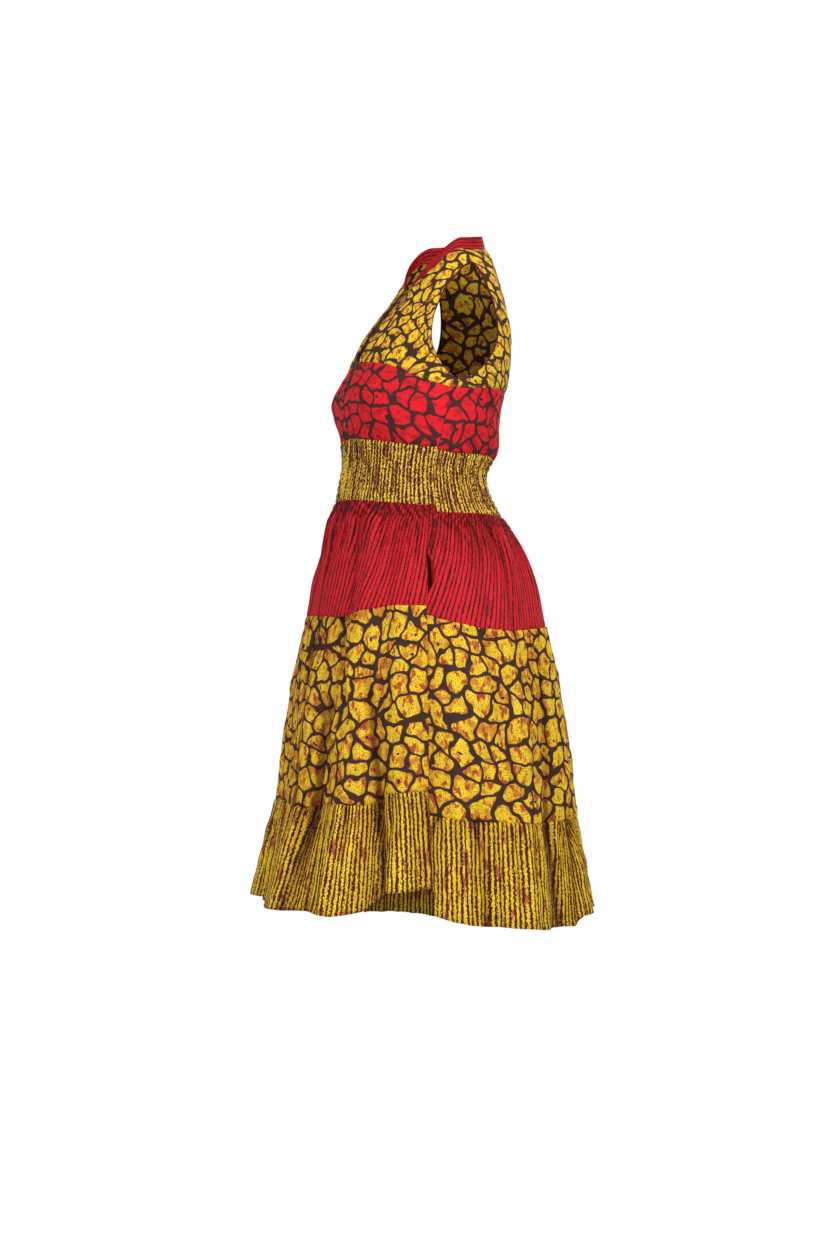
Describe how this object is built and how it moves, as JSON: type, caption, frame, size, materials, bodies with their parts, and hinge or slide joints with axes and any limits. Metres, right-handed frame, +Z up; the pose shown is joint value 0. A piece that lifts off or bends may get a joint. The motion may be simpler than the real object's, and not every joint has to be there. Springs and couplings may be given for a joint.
{
  "type": "smock dress",
  "caption": "Sleeveless smock dress with a stand collar, zip front, shirred waist, tiered flared skirt and hem flounce, in its worn hollow form.",
  "frame": {"origin": "middle of the neck, inside the collar's seam, where the worn dress is held up", "axes": "+Z up, the front of the dress faces -Y, its left side is +X"},
  "size_m": [0.6368, 0.5553, 1.117],
  "materials": {
    "red_stripe": "matte printed cotton, red with dark stripes",
    "red_pebble": "matte printed cotton, red cells in dark lines",
    "yellow_pebble": "matte printed cotton, yellow cells in dark lines",
    "yellow_stripe": "matte printed cotton, yellow with dark stripes",
    "zip_tape": "black woven tape",
    "zip_metal": "dark antique metal"
  },
  "bodies": {
    "root": {"collar": "red_stripe", "skirt_upper_front": "red_stripe", "skirt_upper_back": "red_stripe", "pocket_left": "red_stripe", "pocket_right": "red_stripe", "front_bust_left": "red_pebble", "front_bust_right": "red_pebble", "back_bust": "red_pebble", "front_yoke_left": "yellow_pebble", "front_yoke_right": "yellow_pebble", "back_yoke": "yellow_pebble", "skirt_middle_front": "yellow_pebble", "skirt_middle_back": "yellow_pebble", "waist_front": "yellow_stripe", "waist_back": "yellow_stripe", "flounce_front": "yellow_stripe", "flounce_back": "yellow_stripe", "zip_tape_left": "zip_tape", "zip_tape_right": "zip_tape", "zip_chain": "zip_metal", "zip_slider": "zip_metal"},
    "zip_pull": {"zip_pull": "zip_metal"}
  },
  "joints": [
    {"name": "pull_swing", "type": "hinge", "parent": "root", "child": "zip_pull", "pos_m": [0, -0.15157, -0.14598], "axis": [-1, 0, 0], "range_deg": [0, 150]}
  ]
}
